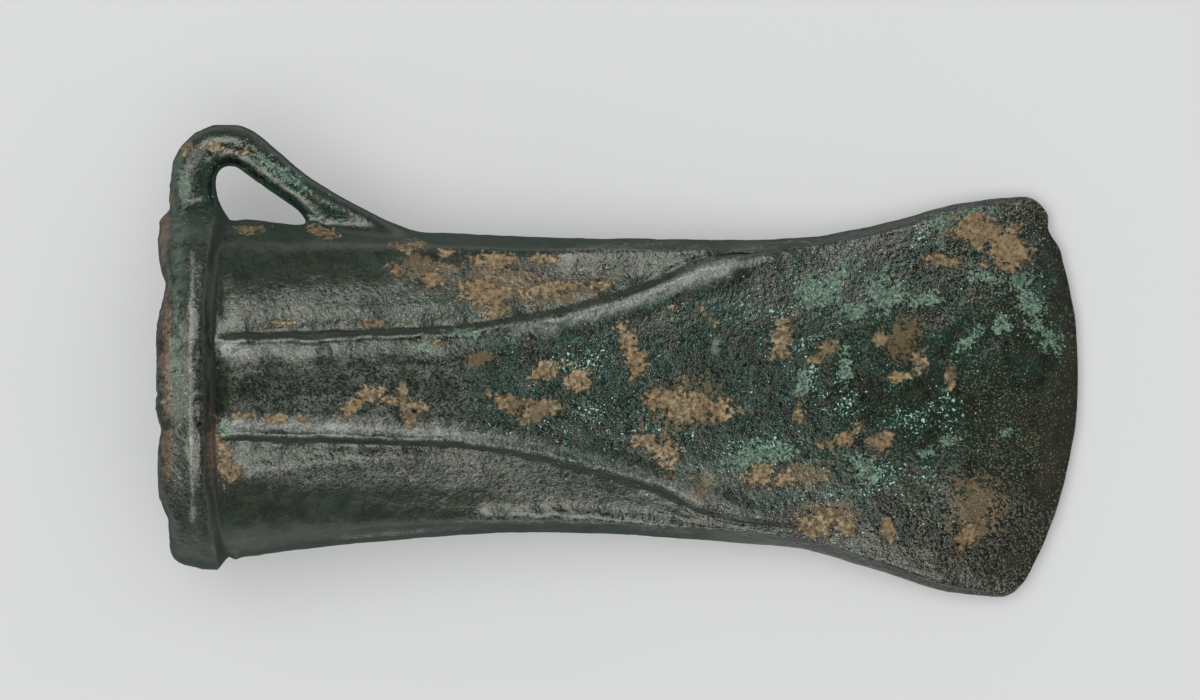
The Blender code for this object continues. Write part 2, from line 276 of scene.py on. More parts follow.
CREST_AT = 4.8
CREST_WIDTH = 0.42


def collar_crest_highlight(s, y):
    """The line along the top of the collar where a highlight is painted."""
    return bell(s - CREST_AT, CREST_WIDTH) * smooth_step(20.0 - np.abs(y), 0.0, 3.0)


def rib_highlight_band(s, y):
    """The strip along the channel's side of each rib, with painted highlight and a raised relief."""
    strength = np.where(y > 0, LOOP_SIDE_BAND(s), FAR_SIDE_BAND(s)) * smooth_step(s, 7.5, 9.5)
    apart = np.abs(y) - RIB_LINE(s) + BAND_IN_FROM_RIB
    return strength * bell(apart, np.where(apart < 0, BAND_WIDTH(s), BAND_OUTER_WIDTH))


def noise_at(points, size, seed, octaves):
    """Fractal noise, about minus one to one, with features of this size in millimetres."""
    shift = Vector((seed * 17.3, seed * 5.1, seed * 9.7))
    found = [noise.fractal(Vector(point) / size + shift, 1.0, 2.0, octaves) for point in points]
    return np.array(found, dtype=float)


def ridge(s, y, line, from_s, to_s, half_width, fade):
    """A low ridge along a line across(s), fading out at its two ends."""
    return window(s, from_s, from_s + fade, to_s - fade, to_s) * bell(y - line, half_width)


def spot(s, y, at, half, turn):
    """One in the middle of an oval patch, a half at its border and zero at twice its size."""
    angle = math.radians(turn)
    along, across = s - at[0], y - at[1]
    u = (along * math.cos(angle) + across * math.sin(angle)) / half[0]
    v = (across * math.cos(angle) - along * math.sin(angle)) / half[1]
    return np.clip(1.0 - np.hypot(u, v) / 2, 0.0, 1.0)


def spots(s, y, patches, spread=1.0):
    """The strongest of several patches (s, y, half length, half width, turn)."""
    found = np.zeros(len(s))
    for at_s, at_y, half_s, half_y, turn in patches:
        half = (spread * half_s, spread * half_y)
        found = np.maximum(found, spot(s, y, (at_s, at_y), half, turn))
    return found


# Relief: heights, sizes and places in millimetres

WAVE_HEIGHT = 0.12
WAVELET_HEIGHT = 0.06
GRAIN_HEIGHT = 0.03
RAGGED = 0.5
# A groove runs this far outside each rib's line, and the rib is highest as far inside it
RIB_OFFSET = 0.9
GROOVE_DEPTH = 0.26
GROOVE_WIDTH = 0.55
RIB_RISE = 0.10
RIB_RISE_WIDTH = 1.1
LOOP_SIDE_RISE = 0.36
FAR_SIDE_RISE = 0.30
# The cheeks are lifted flat towards their sides, in full from this distance across
FLAT_REACH = curve((60.0, 11.0), (72.0, 15.0), (84.0, 19.4), (100.0, 22.6), (120.0, 27.0))
FAR_SIDE_REACH = 2.2
FLAT_WIDTH = 9.0
FLAT_LIFT = 0.45
BLADE_LIFT = 0.18
# Low ridges on both cheeks: line, first and last s, half width, fade, height and how far it wanders
RIDGES = (
    (curve((10.2, -12.1), (23.0, -10.2), (36.0, -9.4)), 9.5, 37.0, 1.1, 4.0, 0.42, 0.4),
    (curve((40.0, -17.6), (58.0, -17.7), (74.0, -20.0)), 43.0, 73.5, 0.9, 2.0, 0.38, 1.0),
    (curve((52.0, 18.0), (66.0, 17.2), (80.0, 16.4)), 53.0, 80.0, 1.6, 4.0, 0.35, 0.0),
    (curve((22.0, 9.9), (42.0, 11.1)), 22.0, 42.0, 0.4, 3.0, 0.18, 0.0),
    (curve((20.0, -21.0), (44.0, -18.9)), 19.0, 45.0, 0.35, 3.0, 0.15, 0.0),
)
# Patches (s, y, half length, half width, turn) of crinkled skin, and of dents beside the collar
CRINKLED = ((86.0, 18.2, 6.0, 2.4, 20), (72.5, -14.0, 4.0, 3.5, -30))
CRINKLE_HEIGHT = 0.26
DENTS = ((9.2, 12.0, 0.5, 1.8, 0), (7.8, 17.2, 0.6, 0.6, 0))
DENT_DEPTH = 0.35
COLLAR_WAVES = 0.20
COLLAR_GRAIN = 0.07
# A lump under the collar, then a dome in a shallow ring, a ring and a scar on the blade
LUMP_AT = (10.3, -23.4)
LUMP_RISE = 0.5
LUMP_WIDTH = math.sqrt(0.5)
DOME_AT = (76.1, 5.3)
DOME_RISE = 0.42
DOME_WIDTH = 0.8
DOME_RING_DEPTH = 0.22
DOME_RING = 1.25
DOME_RING_WIDTH = 0.35
RING_AT = (93.3, -0.3)
RING_DEPTH = 0.10
RING = 1.2
RING_WIDTH = 0.4
SCAR_AT = (74.7, 9.3)
SCAR_RISE = 0.12
SCAR_WIDTH = math.sqrt(0.12)
SCAR_LENGTH = math.sqrt(12.0)


def relief(own, upright):
    """How far each point stands off the smooth solid, in millimetres along its normal."""
    s, y, z = own.T
    outside = smooth_step(s, -1.0, 0.3)
    cheek = smooth_step(np.abs(z), 0.5, 2.0)
    grain = noise_at(own, 1.0, 3, 3)
    ragged = RAGGED * noise_at(own, 2.2, 4, 3)
    height = WAVE_HEIGHT * noise_at(own, 7.0, 1, 2) + WAVELET_HEIGHT * noise_at(own, 2.6, 2, 3)
    height += GRAIN_HEIGHT * grain

    rib_here = window(s, 8.5, 10.5, 78.0, 92.0) * cheek * (1 - smooth_step(s, 70.0, 84.0))
    apart = np.abs(y) - RIB_LINE(s)
    groove = bell(apart - RIB_OFFSET - 0.5 * ragged, GROOVE_WIDTH)
    height -= GROOVE_DEPTH * rib_here * (1 + 1.3 * ragged) * groove
    height += RIB_RISE * rib_here * bell(apart + RIB_OFFSET, RIB_RISE_WIDTH) * (1 + 0.8 * ragged)
    worn_rib = np.where(y > 0, LOOP_SIDE_RISE, FAR_SIDE_RISE) * cheek * rib_highlight_band(s, y + 0.9 * ragged)
    height += worn_rib * (1 + 1.2 * ragged) * smooth_step(s, 44.0, 54.0)

    flat_here = window(s, 60.0, 76.0, 112.0, 122.0) * smooth_step(upright, 0.5, 0.9) * cheek
    reach = FLAT_REACH(s) + FAR_SIDE_REACH * smooth_step(s, 78.0, 100.0) * smooth_step(-y, -5.0, 5.0)
    lift = FLAT_LIFT + BLADE_LIFT * smooth_step(s, 78.0, 88.0)
    height += lift * flat_here * smooth_step(np.abs(y), reach - FLAT_WIDTH, reach)

    for line, from_s, to_s, half_width, fade, rise, wander in RIDGES:
        height += rise * cheek * ridge(s, y + wander * ragged, line(s), from_s, to_s, half_width, fade)
    height += CRINKLE_HEIGHT * cheek * spots(s, y, CRINKLED) * noise_at(own, 1.2, 6, 3)

    collar = window(s, -0.5, 1.0, 6.5, 8.2)
    height += collar * (COLLAR_WAVES * noise_at(own, 3.4, 5, 2) + COLLAR_GRAIN * grain)
    height -= DENT_DEPTH * spots(s, y, DENTS)

    height += LUMP_RISE * bell(np.hypot(s - LUMP_AT[0], y - LUMP_AT[1]), LUMP_WIDTH)
    dome = np.hypot(s - DOME_AT[0], y - DOME_AT[1])
    height += DOME_RISE * bell(dome, DOME_WIDTH)
    height -= DOME_RING_DEPTH * bell(dome - DOME_RING, DOME_RING_WIDTH)
    ring = np.hypot(s - RING_AT[0], y - RING_AT[1])
    height -= RING_DEPTH * bell(ring - RING, RING_WIDTH)
    scar_s, scar_y = s - SCAR_AT[0], y - SCAR_AT[1]
    height += SCAR_RISE * bell(scar_s + scar_y, SCAR_WIDTH) * bell(scar_s - scar_y, SCAR_LENGTH)
    return height * outside


# Depths of the nicks in the mouth's lip, in millimetres
SMALL_NICK = 0.5
LARGE_NICK = 0.35


def nicks(own):
    """How far the mouth's worn lip is eaten back along the axe, in millimetres."""
    at_lip = 1 - smooth_step(own[:, 0], 0.6, 2.4)
    around = own * np.array((0.0, 1.0, 1.0))
    small, large = noise_at(around, 1.1, 11, 2), noise_at(around, 5.2, 12, 1)
    return at_lip * (SMALL_NICK * np.maximum(small, 0.0) + LARGE_NICK * np.maximum(large, 0.0))


def vertex_normals(mesh):
    flat = np.empty(len(mesh.vertices) * 3)
    mesh.vertex_normals.foreach_get("vector", flat)
    return flat.reshape(-1, 3)


# Patina and soil: patches (s, y, half length, half width, turn) on the upper cheek

SOIL = (
    (26.6, -2.9, 1.9, 0.8, 42),
    (29.0, -1.2, 2.0, 1.0, 10),
    (31.6, -1.9, 1.8, 0.6, -8),
    (33.3, -1.5, 0.6, 1.9, 0),
    (34.8, -2.6, 2.0, 0.7, -18),
    (34.1, -3.9, 0.6, 1.5, 15),
    (11.6, -4.0, 1.6, 0.5, 8),
    (15.8, -4.3, 1.6, 0.5, 0),
    (20.2, -4.6, 1.2, 0.4, -20),
    (9.3, -10.0, 0.8, 2.6, 8),
    (10.6, -12.0, 1.1, 0.6, 30),
    (48.0, -2.4, 2.3, 1.0, -15),
    (51.6, -3.2, 2.6, 1.2, 20),
    (52.4, 2.2, 1.9, 1.1, 30),
    (57.0, 1.0, 1.6, 1.3, -20),
    (63.6, 6.2, 1.0, 2.2, 15),
    (64.9, 3.4, 1.1, 1.8, -10),
    (68.5, -1.8, 2.3, 1.4, 15),
    (72.0, -2.6, 3.2, 1.8, -10),
    (76.2, -3.4, 1.9, 1.2, 10),
    (66.2, -7.6, 1.6, 1.0, -25),
    (68.8, -9.0, 1.5, 2.0, 0),
    (81.8, -12.0, 1.9, 1.3, 0),
    (85.0, -12.6, 1.4, 0.9, 30),
    (90.0, -18.0, 1.9, 1.0, 25),
    (93.2, -18.9, 1.6, 0.9, -20),
    (98.9, -19.2, 0.8, 1.5, 10),
    (84.6, 6.3, 1.3, 2.3, -15),
    (111.5, 20.9, 3.0, 1.9, -15),
    (115.5, 18.6, 2.6, 2.6, 20),
    (106.5, 17.0, 2.2, 0.7, -10),
    (100.7, 1.2, 1.9, 0.5, 10),
    (103.2, 3.6, 0.8, 1.2, 20),
    (107.5, 1.4, 0.6, 1.4, 0),
    (98.0, 6.6, 0.8, 0.8, 0),
    (90.9, 5.2, 1.4, 1.0, 40),
    (88.8, 3.4, 1.0, 0.6, 0),
    (93.0, -7.0, 2.6, 0.9, 25),
    (98.0, -7.6, 1.3, 1.2, 0),
    (86.9, -3.2, 0.6, 1.3, 0),
    (88.6, -19.0, 2.6, 1.0, -15),
    (109.5, -20.4, 1.2, 1.8, -20),
    (69.6, 10.5, 0.45, 0.45, 0),
    (74.7, 9.3, 2.2, 0.22, -45),
    (22.1, 21.0, 1.9, 0.7, -20),
    (12.2, 21.3, 1.8, 0.5, 0),
    (30.0, 8.5, 2.8, 0.4, 0),
    (17.0, 8.8, 2.0, 0.35, 0),
    (3.6, 32.3, 0.9, 1.1, 30),
    (7.4, 32.3, 1.3, 0.6, 0),
    (11.6, 32.2, 1.0, 0.6, 0),
    (44.4, 12.8, 3.4, 1.7, -8),
    (53.3, 13.2, 3.6, 0.9, 6),
    (60.0, 13.7, 2.2, 0.5, -8),
    (45.7, 17.0, 2.8, 1.0, -4),
    (52.6, 17.2, 1.8, 0.6, -6),
    (39.0, 17.9, 1.3, 0.6, 0),
    (34.1, 19.0, 1.7, 0.7, 0),
    (37.2, 14.6, 1.4, 1.2, 30),
    (32.3, 16.1, 0.8, 0.7, 0),
    (45.7, 10.1, 1.8, 0.6, 10),
    (38.1, 6.1, 1.3, 0.5, -15),
)
THIN_SOIL = (
    (47.5, 13.6, 11.0, 3.4, -6),
    (36.0, 16.2, 5.0, 2.4, 0),
    (57.0, 12.8, 5.0, 1.8, 20),
    (73.6, -13.4, 2.2, 2.4, -40),
    (43.5, 3.8, 2.8, 1.3, 10),
    (71.5, -2.6, 6.5, 4.0, 0),
    (87.0, -12.0, 5.0, 2.2, 0),
    (91.5, -17.5, 5.0, 2.2, -10),
    (111.0, -16.5, 4.5, 5.0, 20),
    (101.0, 6.5, 3.0, 4.0, 0),
)
RIM_BROWN = (
    (1.4, 4.0, 1.0, 9.5, 0),
    (1.4, -9.0, 0.9, 4.0, 0),
    (0.8, 23.5, 0.9, 8.0, 0),
    (7.6, -8.0, 0.8, 4.5, 0),
)
VERDIGRIS = (
    (88.4, 12.9, 1.6, 1.9, 20),
    (91.6, 14.4, 1.5, 1.1, 30),
    (91.0, 12.0, 1.6, 0.9, 0),
    (98.9, 12.4, 1.7, 2.0, -10),
    (106.0, 22.4, 2.6, 1.2, 10),
    (110.6, 23.4, 2.6, 0.9, 5),
    (112.0, 14.8, 3.0, 0.7, -5),
    (117.2, 14.0, 1.4, 1.8, 20),
    (118.4, 11.0, 1.3, 2.4, 10),
    (94.5, 10.2, 2.2, 1.0, -30),
    (104.0, 11.8, 2.4, 0.8, 10),
    (110.4, 6.6, 2.2, 0.5, 35),
    (87.5, 0.6, 0.8, 1.6, -10),
    (17.0, 28.6, 3.6, 0.8, -37),
    (11.8, 32.6, 1.6, 0.6, -10),
    (3.4, 26.5, 0.5, 3.0, 0),
    (120.4, 7.2, 2.2, 1.3, -50),
    (114.6, 8.4, 1.3, 1.0, 30),
    (115.5, -6.3, 0.8, 0.6, 0),
    (107.6, -7.3, 1.4, 0.6, 20),
    (104.2, -9.0, 1.0, 0.7, 0),
    (93.0, 3.2, 0.9, 2.2, 10),
    (82.4, -9.2, 4.4, 1.3, 12),
    (79.5, -10.5, 1.6, 1.4, 0),
    (96.0, -11.0, 2.4, 1.2, -30),
    (9.4, -5.7, 0.9, 1.1, 0),
    (37.5, 6.0, 2.0, 0.6, 20),
    (41.5, 7.2, 2.4, 0.5, 0),
)
# Patches where slate-coloured sheen is painted on
SHEEN_PATCHES = (
    (76.1, 5.3, 1.0, 1.0, 0),
    (66.0, 17.6, 9.0, 1.2, 0),
    (75.0, 17.0, 5.0, 0.9, 12),
    (58.0, -18.0, 14.0, 0.5, 0),
    (73.5, -13.6, 2.6, 2.6, -40),
    (77.5, -17.2, 3.0, 1.2, -35),
    (105.5, -13.0, 4.5, 4.0, 0),
    (106.5, 9.0, 3.0, 1.4, 20),
    (113.0, 5.0, 2.5, 1.0, 30),
    (16.0, -11.2, 4.0, 0.8, 10),
    (28.0, -9.8, 5.0, 0.7, 6),
    (32.0, -19.95, 7.0, 0.25, 5),
)
SPECK_CLUSTERS = (
    (60.6, -5.3, 5.0, 2.6, -10),
    (57.0, 3.4, 3.0, 2.0, 0),
    (52.0, -6.0, 3.0, 1.2, 0),
    (71.0, -7.0, 3.0, 1.6, 0),
    (82.4, -8.6, 5.5, 2.2, 12),
    (88.0, 3.5, 3.2, 4.5, 10),
    (93.0, -1.0, 4.0, 3.0, 0),
    (90.5, 13.2, 3.0, 2.0, 0),
    (104.5, -3.5, 4.5, 3.5, 0),
    (100.0, -13.0, 5.0, 2.6, -10),
    (90.0, -15.5, 3.0, 1.4, 0),
    (107.0, 21.5, 5.0, 1.8, 10),
    (84.0, 10.0, 4.0, 2.4, 0),
    (39.0, 6.8, 4.0, 1.0, 10),
)
GREEN_WASH = (
    (60.6, -5.3, 5.5, 3.4, -10),
    (76.0, 0.0, 22.0, 10.0, 0),
    (92.0, -6.0, 14.0, 10.0, -10),
    (95.0, 8.0, 14.0, 8.0, 0),
    (112.0, 12.0, 9.0, 10.0, 0),
    (55.0, 3.0, 9.0, 5.0, 0),
    (36.0, 11.0, 6.0, 1.6, 0),
    (19.0, 26.0, 6.0, 2.0, -37),
    (5.0, 28.0, 2.4, 5.0, 0),
)


# How the upper cheek's patches are moved for the lower cheek
LOWER_TURN_S = 120.0
LOWER_SQUEEZE_Y = -0.92
LOWER_SHIFT_Y = 1.5
SOIL_SPREAD = 1.3
VERDIGRIS_SPREAD = 1.25
# How strongly painted sheen, painted highlight and painted shade show at each place
CHANNEL_GREY = 0.50
WING_GREY = 0.55
PATCH_GREY = 1.2
CREST_GREY = 0.7
LOOP_GREY = 0.55
CREST_BAND = 0.6
FAR_SIDE_SHARE = 0.8
EDGE_SHARE = 0.45
# The cutting edge curves back by this much of y squared
EDGE_CURVE = 0.008
HOLLOW_GAIN = 2.0


def mirrored(s, y, z):
    """Places on the lower cheek, moved so that its patches don't copy the upper cheek's."""
    upper = z > 0
    lower_y = LOWER_SQUEEZE_Y * y + LOWER_SHIFT_Y
    return np.where(upper, s, LOWER_TURN_S - s), np.where(upper, y, lower_y)


def sheen_greyness(s, y, z, patch_s, patch_y):
    """Where slate-coloured sheen is painted: on the channel, the wings, beside the ribs, on the
    collar's crest, on the loop's top and in listed patches.
    """
    beside = np.abs(y) - RIB_LINE(s)
    channel = window(s, 8.0, 11.0, 40.0, 52.0) * (1 - smooth_step(beside, -1.5, -0.3))
    wing = window(s, 8.0, 11.0, 66.0, 76.0) * window(beside, 1.0, 2.5, 5.5, 8.0)
    painted_sheen = np.maximum(CHANNEL_GREY * channel, WING_GREY * wing)
    painted_sheen = np.maximum(painted_sheen, rib_highlight_band(s, y))
    painted_sheen = np.maximum(painted_sheen, PATCH_GREY * spots(patch_s, patch_y, SHEEN_PATCHES))
    painted_sheen = np.maximum(painted_sheen, CREST_GREY * collar_crest_highlight(s, y))
    loop = smooth_step(y, 22.0, 25.0) * smooth_step(z, 2.0, 4.5)
    return np.maximum(painted_sheen, LOOP_GREY * loop)


def masks(own):
    """Where each kind of patina, painted sheen, painted highlight, painted light and painted shade
    sits, from zero to one at each point.
    """
    s, y, z = own.T
    patch_s, patch_y = mirrored(s, y, z)
    on_cheek = smooth_step(np.abs(z), 0.2, 1.2) * smooth_step(s, -1.5, 0.0)
    beside = np.abs(y) - RIB_LINE(s)
    wing = smooth_step(beside, 0.5, 2.0) * (1 - smooth_step(s, 74.0, 90.0))
    middle = (1 - wing) * smooth_step(s, 30.0, 56.0) * (1 - 0.75 * smooth_step(s, 84.0, 102.0))
    wing_skin = wing * smooth_step(s, 8.0, 14.0) * (1 - smooth_step(beside, 5.0, 8.0))
    rough = np.maximum(middle, 1 - smooth_step(s, 3.0, 8.0))
    loop_side = 0.75 - 0.37 * smooth_step(s, 16.0, 24.0) + 1.1 * smooth_step(s, 46.0, 56.0)
    highlight_share = np.where(y > 0, loop_side, FAR_SIDE_SHARE)
    corners = np.maximum(smooth_step(y, 8.0, 15.0), smooth_step(-y, 12.0, 18.0))
    cutting_edge = smooth_step(s + EDGE_CURVE * y**2, 120.0, 123.5)
    below_collar = bell(s - 7.0, 1.1) * smooth_step(21.0 - y, 0.0, 2.0)
    return {
        # Painted sheen in slate
        "painted_sheen": sheen_greyness(s, y, z, patch_s, patch_y) * on_cheek,
        # Painted shade: black at the blade's corners near its two edges
        "shaded_corners": smooth_step(s, 80.0, 86.0) * corners,
        "soil": spots(patch_s, patch_y, SOIL, SOIL_SPREAD) * on_cheek,
        "thin_soil": spots(patch_s, patch_y, THIN_SOIL) * on_cheek,
        "verdigris": spots(patch_s, patch_y, VERDIGRIS, VERDIGRIS_SPREAD) * on_cheek,
        "wash": spots(patch_s, patch_y, GREEN_WASH) * on_cheek,
        "specks": spots(patch_s, patch_y, SPECK_CLUSTERS) * on_cheek,
        # Painted highlight along the ribs and on the collar's crest
        "painted_highlight_band": np.maximum(CREST_BAND * collar_crest_highlight(s, y), rib_highlight_band(s, y) * highlight_share),
        "rim_brown": spots(s, y, RIM_BROWN),
        "rough": np.maximum(rough, wing_skin),
        "blade": smooth_step(s, BLADE_FROM, BLADE_FULL),
        # Painted shade: black on the cutting edge's bevel and in the crease beside the collar
        "edge": np.maximum(EDGE_SHARE * cutting_edge, below_collar),
        # Painted light: the collar's green strip made paler where it faces the west softbox
        "rim_lit_green": bell(s - 2.9, 0.9) * smooth_step(y, -14.0, 4.0),
    }


def flanks(own, normals):
    """Where the steep sides are, apart from the pale one below the blade."""
    pale_side = smooth_step(own[:, 0], 68.0, 84.0) * smooth_step(-own[:, 1], 0.0, 5.0)
    return (1 - smooth_step(np.abs(normals @ CHEEK_UP), 0.3, 0.6)) * (1 - pale_side)


def hollowness(mesh, points, normals):
    """Positive in hollows and negative on crests, from each point's neighbours."""
    ends = edge_ends(mesh)
    along = points[ends[:, 1]] - points[ends[:, 0]]
    squared = np.maximum((along**2).sum(1), 1e-12)
    total = np.zeros(len(points))
    count = np.zeros(len(points))
    for near, sign in ((0, 1.0), (1, -1.0)):
        lift = sign * (along * normals[ends[:, near]]).sum(1) / squared
        np.add.at(total, ends[:, near], lift)
        np.add.at(count, ends[:, near], 1)
    return total / np.maximum(count, 1) * MM


def add_mask(mesh, name, values):
    layer = mesh.attributes.new(name, "FLOAT", "POINT")
    layer.data.foreach_set("value", values.astype(np.float32))


def bronze_casting():
    """The axe head with its fine relief, in place of the plain solid."""
    mesh = smoothed_mesh(quads_of(frame["nodes"][NODE]))
    split_long_edges(mesh)
    points = wandering_ribs(blended_roots(mesh, points_of(mesh)))
    move_points(mesh, points)
    own = own_places(points)
    normals = vertex_normals(mesh)
    points += normals * relief(own, np.abs(normals @ CHEEK_UP))[:, None] * MM
    points += nicks(own)[:, None] * ALONG * MM
    points = np.clip(points, np.array(CAD_LOW), np.array(CAD_HIGH))
    move_points(mesh, points)
    for name, values in masks(own).items():
        add_mask(mesh, name, values)
    normals = vertex_normals(mesh)
    add_mask(mesh, "flank", flanks(own, normals))
    hollow = HOLLOW_GAIN * hollowness(mesh, points, normals)
    add_mask(mesh, "crest", np.clip(-hollow, 0, 1))
    add_mask(mesh, "hollow", np.clip(hollow, 0, 1))
    mesh.shade_smooth()
    piece = bpy.data.objects.new("axe_head_bronze", mesh)
    bpy.context.scene.collection.objects.link(piece)
    return piece


# Materials

NOISE_MIDDLE = 0.5


class Nodes:
    """Short calls for building a node material."""

    def __init__(self, name):
        self.material = bpy.data.materials.new(name)
        self.material.use_nodes = True
        self.tree = self.material.node_tree
        self.shader = self.tree.nodes["Principled BSDF"]

    def put(self, socket, value):
        if hasattr(value, "is_output"):
            self.tree.links.new(value, socket)
        else:
            socket.default_value = value

    def add(self, kind, **settings):
        node = self.tree.nodes.new(kind)
        for key, value in settings.items():
            setattr(node, key, value)
        return node

    def maths(self, operation, a, b):
        node = self.add("ShaderNodeMath", operation=operation)
        self.put(node.inputs[0], a)
        self.put(node.inputs[1], b)
        return node.outputs[0]

    def plus(self, a, b):
        return self.maths("ADD", a, b)

    def less(self, a, b):
        return self.maths("SUBTRACT", a, b)

    def times(self, a, b):
        return self.maths("MULTIPLY", a, b)

    def larger(self, a, b):
        return self.maths("MAXIMUM", a, b)

    def off_middle(self, value, share):
        """How far a noise is from its middle, times a share."""
        return self.times(self.less(value, NOISE_MIDDLE), share)

    def mask(self, name):
        return self.add("ShaderNodeAttribute", attribute_name=name).outputs["Fac"]

    def millimetres(self):
        """Places on the object in millimetres."""
        place = self.add("ShaderNodeTexCoord").outputs["Object"]
        scaled = self.add("ShaderNodeVectorMath", operation="MULTIPLY")
        self.put(scaled.inputs[0], place)
        scaled.inputs[1].default_value = (1 / MM, 1 / MM, 1 / MM)
        return scaled.outputs[0]

    def noise(self, place, size, detail, roughness=0.55, distortion=0.0):
        node = self.add("ShaderNodeTexNoise")
        self.put(node.inputs["Vector"], place)
        node.inputs["Scale"].default_value = 1.0 / size
        node.inputs["Detail"].default_value = detail
        node.inputs["Roughness"].default_value = roughness
        node.inputs["Distortion"].default_value = distortion
        return node.outputs["Fac"]

    def between(self, value, low, high):
        """Zero at low, one at high, smooth between."""
        node = self.add("ShaderNodeMapRange", interpolation_type="SMOOTHSTEP")
        self.put(node.inputs["Value"], value)
        node.inputs["From Min"].default_value = low
        node.inputs["From Max"].default_value = high
        return node.outputs["Result"]

    def ramp(self, value, *stops):
        node = self.add("ShaderNodeValToRGB")
        self.put(node.inputs["Fac"], value)
        points = node.color_ramp.elements
        while len(points) < len(stops):
            points.new(0.5)
        for point, (place, colour) in zip(points, stops):
            point.position = place
            point.color = (*colour, 1)
        return node.outputs["Color"]

    def mix(self, share, a, b, kind="RGBA"):
        node = self.add("ShaderNodeMix", data_type=kind)
        first, second = (6, 7) if kind == "RGBA" else (2, 3)
        self.put(node.inputs[0], share)
        for socket, value in ((node.inputs[first], a), (node.inputs[second], b)):
            if isinstance(value, tuple):
                value = (*value, 1)
            self.put(socket, value)
        return node.outputs[2 if kind == "RGBA" else 0]

    def blend(self, share, a, b):
        """Mixes two plain values."""
        return self.mix(share, a, b, "FLOAT")

    def laid(self, under, over, share, strength):
        """One colour laid over another by a share times a strength."""
        return self.mix(self.times(share, strength), under, over)

    def bump(self, height, distance, strength, onto=None):
        node = self.add("ShaderNodeBump")
        self.put(node.inputs["Height"], height)
        node.inputs["Distance"].default_value = distance * MM
        self.put(node.inputs["Strength"], strength)
        if onto is not None:
            self.put(node.inputs["Normal"], onto)
        return node.outputs["Normal"]


# Noises: size in millimetres, detail, roughness and distortion

BROAD = (8.0, 3.0)
MIDDLING = (2.4, 5.0, 0.65)
FINE = (0.6, 4.0, 0.7)
GRIT = (0.30, 2.0, 0.6)
DOTS = (0.40, 1.0, 0.5)
TANGLED = (1.5, 6.0, 0.72, 0.7)
CLOTTED = (3.4, 6.0, 0.68, 0.4)
PITS = (0.9, 3.0, 0.7)
CREASES = (1.3, 2.0, 0.45, 0.6)
WRINKLES = (0.62, 1.0, 0.4, 0.3)
PAPER = (60.0, 2.0)

# Colours, as linear light

BASE_STOPS = (
    (0.38, (0.001, 0.002, 0.001)),
    (0.50, (0.005, 0.009, 0.0045)),
    (0.62, (0.014, 0.020, 0.010)),
)
VERDIGRIS_STOPS = (
    (0.32, (0.006, 0.020, 0.013)),
    (0.38, (0.052, 0.108, 0.074)),
    (0.48, (0.150, 0.250, 0.175)),
)
SOIL_STOPS = (
    (0.34, (0.026, 0.019, 0.009)),
    (0.46, (0.110, 0.080, 0.037)),
    (0.64, (0.34, 0.255, 0.150)),
)
BOTTLE_GREEN = (0.006, 0.026, 0.018)
OLIVE = (0.018, 0.014, 0.006)
# Black for painted shade at the cutting edge, beside the collar and at the blade's corners
PAINTED_SHADE_BLACK = (0.003, 0.003, 0.0015)
FLANK_GREEN = (0.003, 0.020, 0.013)
# Slate colours for painted sheen, and paler ones for painted highlight along the ribs and the collar's
# crest
SHEEN_DARK = (0.012, 0.016, 0.011)
SHEEN_PALE = (0.130, 0.137, 0.120)
HIGHLIGHT_DARK = (0.150, 0.158, 0.144)
HIGHLIGHT_PALE = (0.33, 0.34, 0.32)
TEAL_DARK = (0.002, 0.019, 0.014)
TEAL_PALE = (0.055, 0.15, 0.12)
SPECK_DARK = (0.10, 0.30, 0.22)
SPECK_PALE = (0.42, 0.58, 0.48)
DUST_DARK = (0.06, 0.08, 0.045)
DUST_PALE = (0.24, 0.22, 0.15)
RIM_DARK = (0.035, 0.018, 0.011)
RIM_PALE = (0.15, 0.080, 0.050)
# Pale green for painted light on the collar's slope facing the west softbox
RIM_LIT_GREEN = (0.050, 0.085, 0.060)
FILM_DARK = (0.022, 0.015, 0.008)
FILM_PALE = (0.19, 0.125, 0.060)
RUST = (0.150, 0.082, 0.030)
HOLLOW_BLACK = (0.004, 0.004, 0.003)
# Light slate for painted glints on the crests
CREST_GLINT = (0.11, 0.12, 0.105)
PIT_BLACK = (0.006, 0.008, 0.005)
FLOOR_DARK = (0.61, 0.615, 0.615)
FLOOR_PALE = (0.63, 0.635, 0.635)

# Roughness, least and most, and how deep each bump is in millimetres

SMOOTH_SKIN = (0.15, 0.27)
ROUGH_SKIN = (0.10, 0.32)
FLANK_ROUGHNESS = 0.92
CRUST_ROUGHNESS = 0.8
SPECULAR_LEVEL = 0.65
SPECULAR_TINT = (0.98, 1.0, 0.88, 1)
FLOOR_ROUGHNESS = 0.9
FLOOR_SPECULAR = 0.1
CREASE_BUMP = 0.16
WRINKLE_BUMP = 0.10
SPECKLE_BUMP = 0.03
SOIL_BUMP = 0.12


